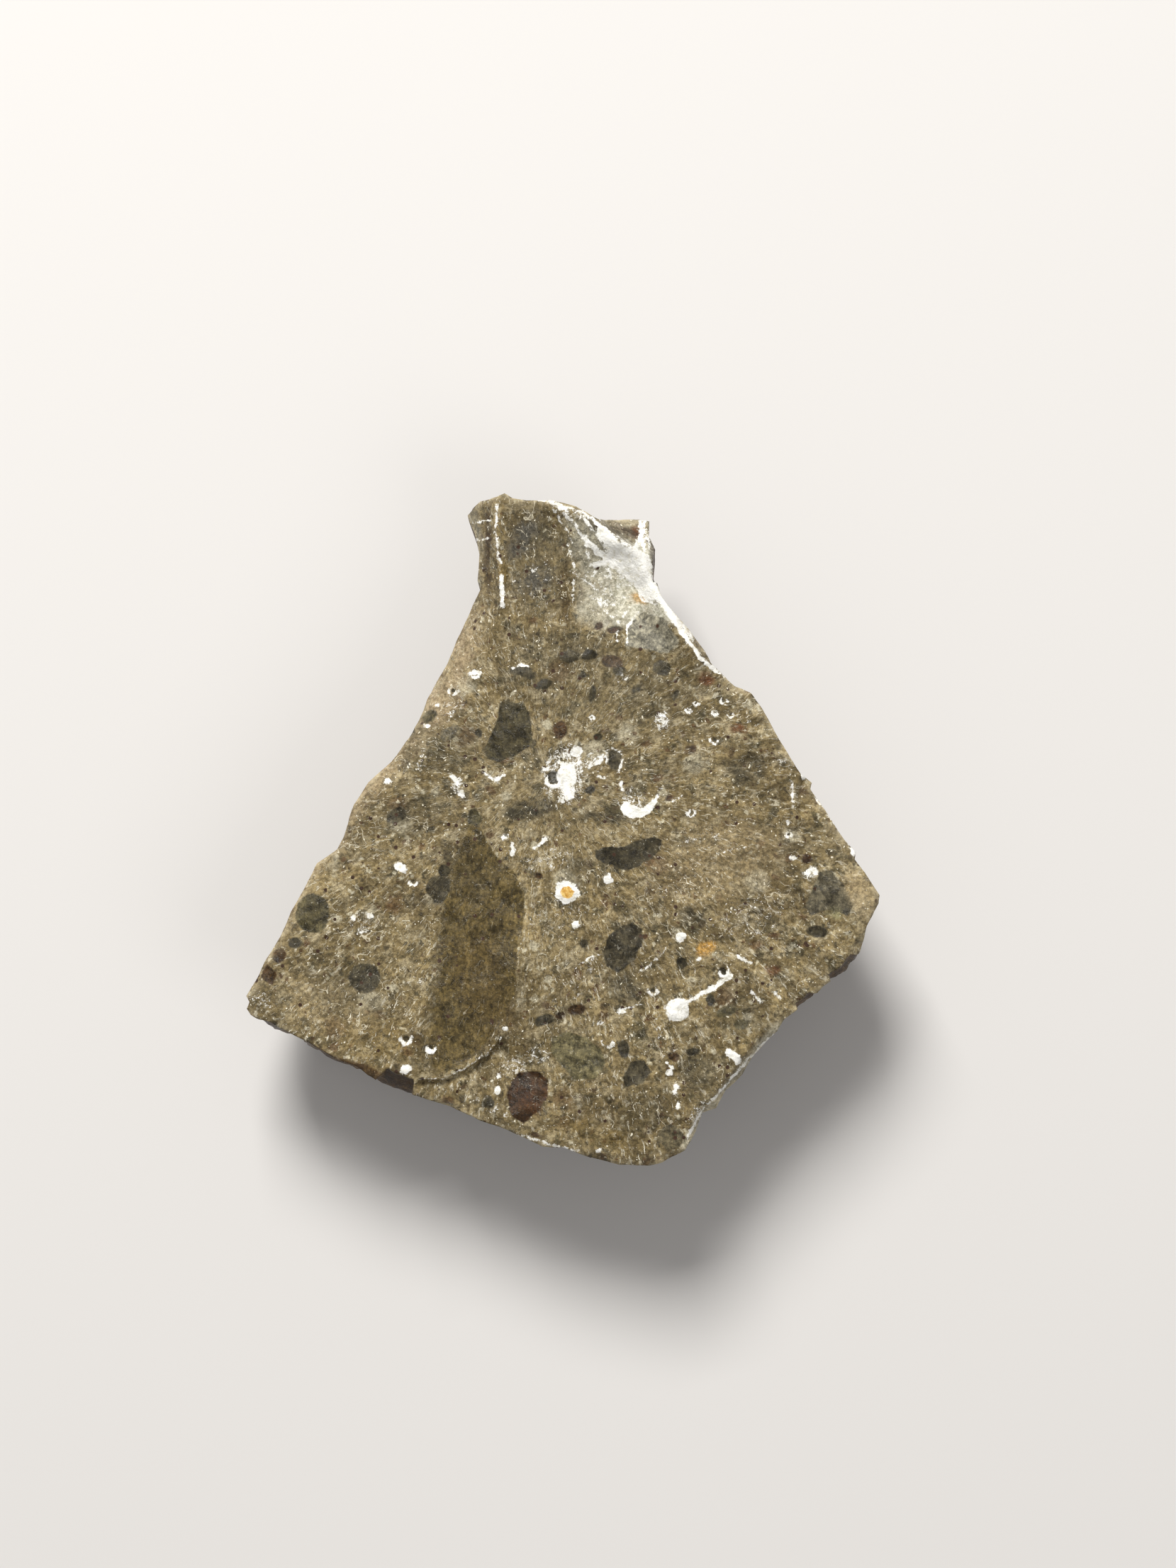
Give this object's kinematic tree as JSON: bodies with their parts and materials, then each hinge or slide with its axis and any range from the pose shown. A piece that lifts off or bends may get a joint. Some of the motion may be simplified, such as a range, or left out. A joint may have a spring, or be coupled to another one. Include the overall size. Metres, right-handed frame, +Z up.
{
  "type": "lunar meteorite fragment",
  "caption": "Small broken flake of dark lunar breccia with a short neck, one flat fracture face and a faceted underside.",
  "frame": {"origin": "under the middle of the stone's bounding box, on the plane of the flat spot it lies on", "axes": "+Z up, out of the broad fracture face; +Y along the stone's length towards the neck; +X to the right seen from above"},
  "size_m": [0.0186, 0.0198, 0.005],
  "materials": {
    "breccia": "satin"
  },
  "bodies": {
    "root": {"meteorite": "breccia"}
  },
  "joints": []
}
